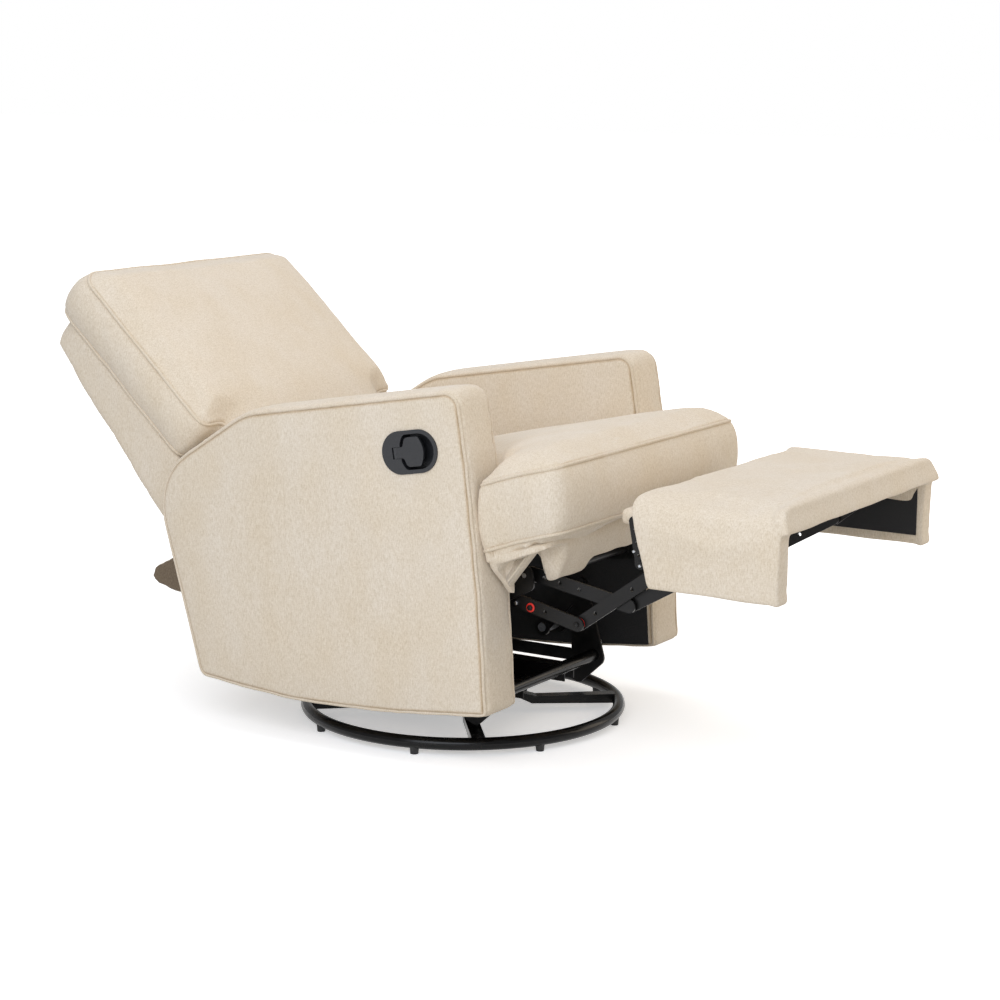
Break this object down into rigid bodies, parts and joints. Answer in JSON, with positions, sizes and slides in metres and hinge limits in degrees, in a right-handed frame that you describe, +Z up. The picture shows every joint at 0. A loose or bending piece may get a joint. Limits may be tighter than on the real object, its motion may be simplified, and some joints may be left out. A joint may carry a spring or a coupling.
{
  "type": "swivel glider recliner",
  "caption": "Upholstered swivel glider recliner with a T-shaped seat and back, a pull-handle release, a scissor-link footrest, and a round tube base.",
  "frame": {"origin": "on the floor plane, under the middle of the reclined chair's length and width; the swivel axis stands 48 mm behind it", "axes": "+Z up, parallel to the swivel axis, -Y the way the sitter faces, +X the sitter's left with the release handle on the -X arm; lengths in metres"},
  "size_m": [0.739, 1.5902, 0.8519],
  "materials": {
    "gloss_black": "gloss",
    "black_steel": "satin",
    "zinc": "satin",
    "chrome": "polished",
    "glide_black": "matte",
    "cream_fabric": "woven",
    "cream_piping": "woven",
    "black_lining": "non-woven",
    "frame_wood": "raw",
    "handle_plastic": "textured",
    "red_nylon": "satin"
  },
  "bodies": {
    "base": {"base_ring": "gloss_black", "base_spider": "gloss_black", "floor_glides": "glide_black", "lower_race": "zinc", "bearing_balls": "chrome", "king_bolt": "zinc"},
    "swivel_frame": {"swivel_plate": "black_steel", "frame_rails": "black_steel", "front_cross_tube": "gloss_black", "rear_cross_tube": "gloss_black", "glide_towers": "black_steel", "tower_bolts": "zinc"},
    "front_swing": {"front_glide_links": "black_steel"},
    "rear_swing": {"rear_glide_links": "black_steel"},
    "chair": {"side_plates": "black_steel", "glide_axles": "zinc", "linkage_pins": "zinc", "seat_frame": "frame_wood", "seat_springs": "zinc", "front_rail": "cream_fabric", "rear_rail": "frame_wood", "rear_skirt": "cream_fabric", "arm_right": "cream_fabric", "arm_left": "cream_fabric", "arm_piping_right": "cream_piping", "arm_piping_left": "cream_piping", "arm_linings": "black_lining", "seat_cushion": "cream_fabric", "seat_piping": "cream_piping", "handle_housing": "handle_plastic", "extension_springs": "zinc"},
    "release_handle": {"release_lever": "handle_plastic"},
    "back": {"back_cushion": "cream_fabric", "back_piping": "cream_piping", "outer_back": "cream_fabric", "back_brackets": "black_steel"},
    "front_link_pair": {"front_links": "black_steel"},
    "drive_link_pair": {"drive_links": "black_steel", "torque_tube": "black_steel"},
    "ottoman_link_pair": {"ottoman_links": "black_steel", "nylon_washers": "red_nylon"},
    "tie_link_pair": {"tie_links": "black_steel"},
    "footrest": {"footrest_pad": "cream_fabric", "footrest_lining": "black_lining", "footrest_brackets": "black_steel"},
    "middle_ottoman": {"middle_pad": "cream_fabric", "middle_brackets": "black_steel"}
  },
  "joints": [
    {"name": "swivel", "type": "hinge", "parent": "base", "child": "swivel_frame", "pos_m": [0, 0.048, 0.06], "axis": [0, 0, 1], "continuous": true},
    {"name": "glide", "type": "hinge", "parent": "swivel_frame", "child": "front_swing", "pos_m": [0, -0.102, 0.235], "axis": [1, 0, 0], "range_deg": [-29, 0]},
    {"name": "glide_seat", "type": "hinge", "parent": "front_swing", "child": "chair", "pos_m": [0, -0.01334, 0.13992], "axis": [1, 0, 0], "range_deg": [0, 39]},
    {"name": "glide_rear", "type": "hinge", "parent": "swivel_frame", "child": "rear_swing", "pos_m": [0, 0.278, 0.235], "axis": [1, 0, 0], "range_deg": [-26, 0]},
    {"name": "back_recline", "type": "hinge", "parent": "chair", "child": "back", "pos_m": [0, 0.30989, 0.40461], "axis": [1, 0, 0], "range_deg": [0, 30]},
    {"name": "footrest_fold", "type": "hinge", "parent": "chair", "child": "front_link_pair", "pos_m": [0, -0.24047, 0.3533], "axis": [1, 0, 0], "range_deg": [0, 122]},
    {"name": "ottoman_link_turn", "type": "hinge", "parent": "front_link_pair", "child": "ottoman_link_pair", "pos_m": [0, -0.41332, 0.32276], "axis": [1, 0, 0], "range_deg": [-114, 0]},
    {"name": "footrest_turn", "type": "hinge", "parent": "ottoman_link_pair", "child": "footrest", "pos_m": [0, -0.59854, 0.45671], "axis": [1, 0, 0], "range_deg": [0, 72.5]},
    {"name": "tie_link_turn", "type": "hinge", "parent": "front_link_pair", "child": "tie_link_pair", "pos_m": [0, -0.44232, 0.31763], "axis": [1, 0, 0], "range_deg": [-118.3, 0]},
    {"name": "drive_link_turn", "type": "hinge", "parent": "chair", "child": "drive_link_pair", "pos_m": [0, -0.17266, 0.31475], "axis": [1, 0, 0], "range_deg": [0, 119.4]},
    {"name": "middle_ottoman_turn", "type": "hinge", "parent": "ottoman_link_pair", "child": "middle_ottoman", "pos_m": [0, -0.50587, 0.39956], "axis": [1, 0, 0], "range_deg": [-122.1, 0]},
    {"name": "release_pull", "type": "hinge", "parent": "chair", "child": "release_handle", "pos_m": [-0.367, -0.04137, 0.57312], "axis": [0, -0.1702, -0.9854], "range_deg": [0, 30], "stiffness_Nm_per_rad": 0.6}
  ],
  "couplings": [
    {"joint": "glide_seat", "follows": "glide", "ratio": -1.342},
    {"joint": "glide_rear", "follows": "glide", "ratio": 0.893},
    {"joint": "ottoman_link_turn", "follows": "footrest_fold", "ratio": -0.934},
    {"joint": "footrest_turn", "follows": "footrest_fold", "ratio": 0.594},
    {"joint": "tie_link_turn", "follows": "footrest_fold", "ratio": -0.969},
    {"joint": "drive_link_turn", "follows": "footrest_fold", "ratio": 0.978},
    {"joint": "middle_ottoman_turn", "follows": "footrest_fold", "ratio": -1}
  ]
}
